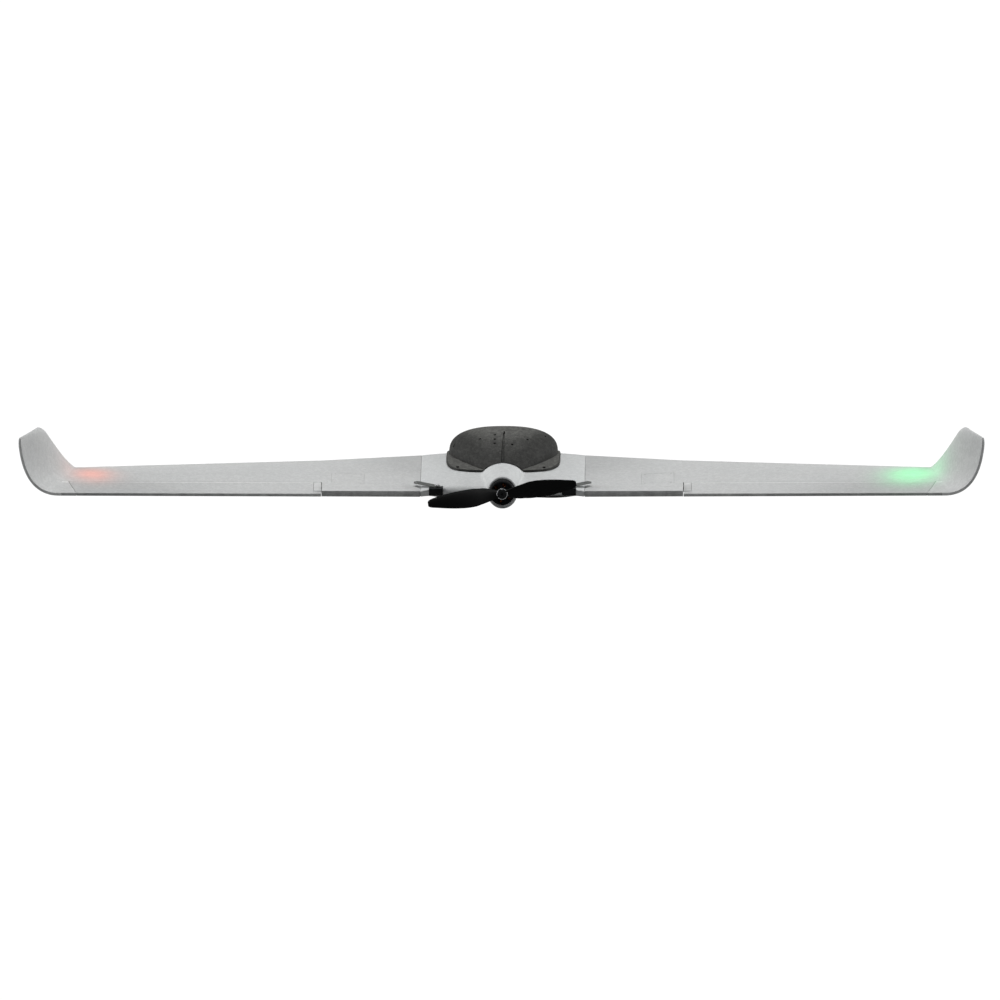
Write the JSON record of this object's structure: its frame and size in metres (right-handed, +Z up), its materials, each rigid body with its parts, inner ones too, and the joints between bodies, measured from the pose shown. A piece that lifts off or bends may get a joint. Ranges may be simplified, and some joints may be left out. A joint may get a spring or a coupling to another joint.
{
  "type": "rc flying wing",
  "caption": "Tailless foam RC flying wing with blended winglets, hinged elevons, a lift-off equipment pod, plug-in wing panels and a pusher motor with propeller.",
  "frame": {"origin": "centre of the belly skid's flat underside, where the aeroplane stands", "axes": "+X to starboard along the span, +Y forward to the nose, +Z up"},
  "size_m": [1.1458, 0.409, 0.1104],
  "materials": {
    "white_foam": "moulded white bead foam with a faint grain",
    "dark_foam": "moulded dark grey bead foam, matt",
    "black_plastic": "black nylon, satin",
    "grey_plastic": "grey moulded plastic, satin",
    "white_nylon": "white nylon, satin",
    "carbon": "pultruded carbon, semi-gloss",
    "steel": "turned steel",
    "collet_aluminium": "turned aluminium",
    "black_metal": "black anodised",
    "copper": "lacquered copper windings",
    "birch_ply": "bare plywood",
    "battery_wrap": "blue shrink wrap over pouch cells",
    "webbing": "woven black strap",
    "green_board": "green circuit board in a tray",
    "red_lamp": "lit red lamp in a clear moulding",
    "green_lamp": "lit green lamp in a clear moulding",
    "wire_jacket": "silicone wire jacket"
  },
  "bodies": {
    "airframe": {"fuselage_body": "white_foam", "belly_skid": "black_plastic", "motor_mount": "black_plastic", "motor_stator": "copper", "joiner_tube": "carbon", "locating_pin_left": "carbon", "locating_pin_right": "carbon", "body_root_plate_left": "birch_ply", "body_root_plate_right": "birch_ply", "battery": "battery_wrap", "battery_strap": "webbing", "esc": "black_plastic", "flight_controller": "green_board", "receiver": "black_plastic", "gps_module": "white_nylon", "motor_lead_1": "wire_jacket", "motor_lead_2": "wire_jacket", "motor_lead_3": "wire_jacket", "latch_housing_left": "black_plastic", "latch_housing_right": "black_plastic", "latch_screw_left": "steel", "latch_screw_right": "steel"},
    "rotor": {"motor_bell": "black_metal", "motor_shaft": "steel", "prop_adapter": "collet_aluminium", "propeller": "black_plastic", "prop_nut": "black_plastic"},
    "pod": {"pod_cover": "dark_foam"},
    "wing_panel_left": {"wing_left": "white_foam", "wing_root_plate_left": "birch_ply", "servo_left": "black_plastic", "servo_cover_left": "white_nylon", "nav_lamp_left": "red_lamp", "nav_lamp_plate_left": "white_nylon"},
    "elevon_body_left": {"elevon_left": "white_foam", "drive_arm_left": "white_nylon", "servo_shaft_left": "steel", "hinge_rod_left": "carbon"},
    "latch_left": {"latch_lever_left": "grey_plastic"},
    "wing_panel_right": {"wing_right": "white_foam", "wing_root_plate_right": "birch_ply", "servo_right": "black_plastic", "servo_cover_right": "white_nylon", "nav_lamp_right": "green_lamp", "nav_lamp_plate_right": "white_nylon"},
    "elevon_body_right": {"elevon_right": "white_foam", "drive_arm_right": "white_nylon", "servo_shaft_right": "steel", "hinge_rod_right": "carbon"},
    "latch_right": {"latch_lever_right": "grey_plastic"}
  },
  "joints": [
    {"name": "propeller_spin", "type": "hinge", "parent": "airframe", "child": "rotor", "pos_m": [0, -0.19283, 0.02892], "axis": [0, 0.9962, -0.0872], "continuous": true},
    {"name": "pod_lift", "type": "slide", "parent": "airframe", "child": "pod", "axis": [0, 0, 1], "range_m": [0, 0.08]},
    {"name": "wing_left_slide", "type": "slide", "parent": "airframe", "child": "wing_panel_left", "axis": [-1, 0, 0], "range_m": [0, 0.13]},
    {"name": "elevon_left_hinge", "type": "hinge", "parent": "wing_panel_left", "child": "elevon_body_left", "pos_m": [-0.37, -0.15483, 0.0307], "axis": [-0.9773, -0.2078, 0.0409], "range_deg": [-25, 25]},
    {"name": "latch_left_swing", "type": "hinge", "parent": "airframe", "child": "latch_left", "pos_m": [-0.078, -0.1446, 0.0295], "axis": [0, 0, 1], "range_deg": [0, 75]},
    {"name": "wing_right_slide", "type": "slide", "parent": "airframe", "child": "wing_panel_right", "axis": [1, 0, 0], "range_m": [0, 0.13]},
    {"name": "elevon_right_hinge", "type": "hinge", "parent": "wing_panel_right", "child": "elevon_body_right", "pos_m": [0.37, -0.15483, 0.0307], "axis": [-0.9773, 0.2078, -0.0409], "range_deg": [-25, 25]},
    {"name": "latch_right_swing", "type": "hinge", "parent": "airframe", "child": "latch_right", "pos_m": [0.078, -0.1446, 0.0295], "axis": [0, 0, -1], "range_deg": [0, 75]}
  ]
}
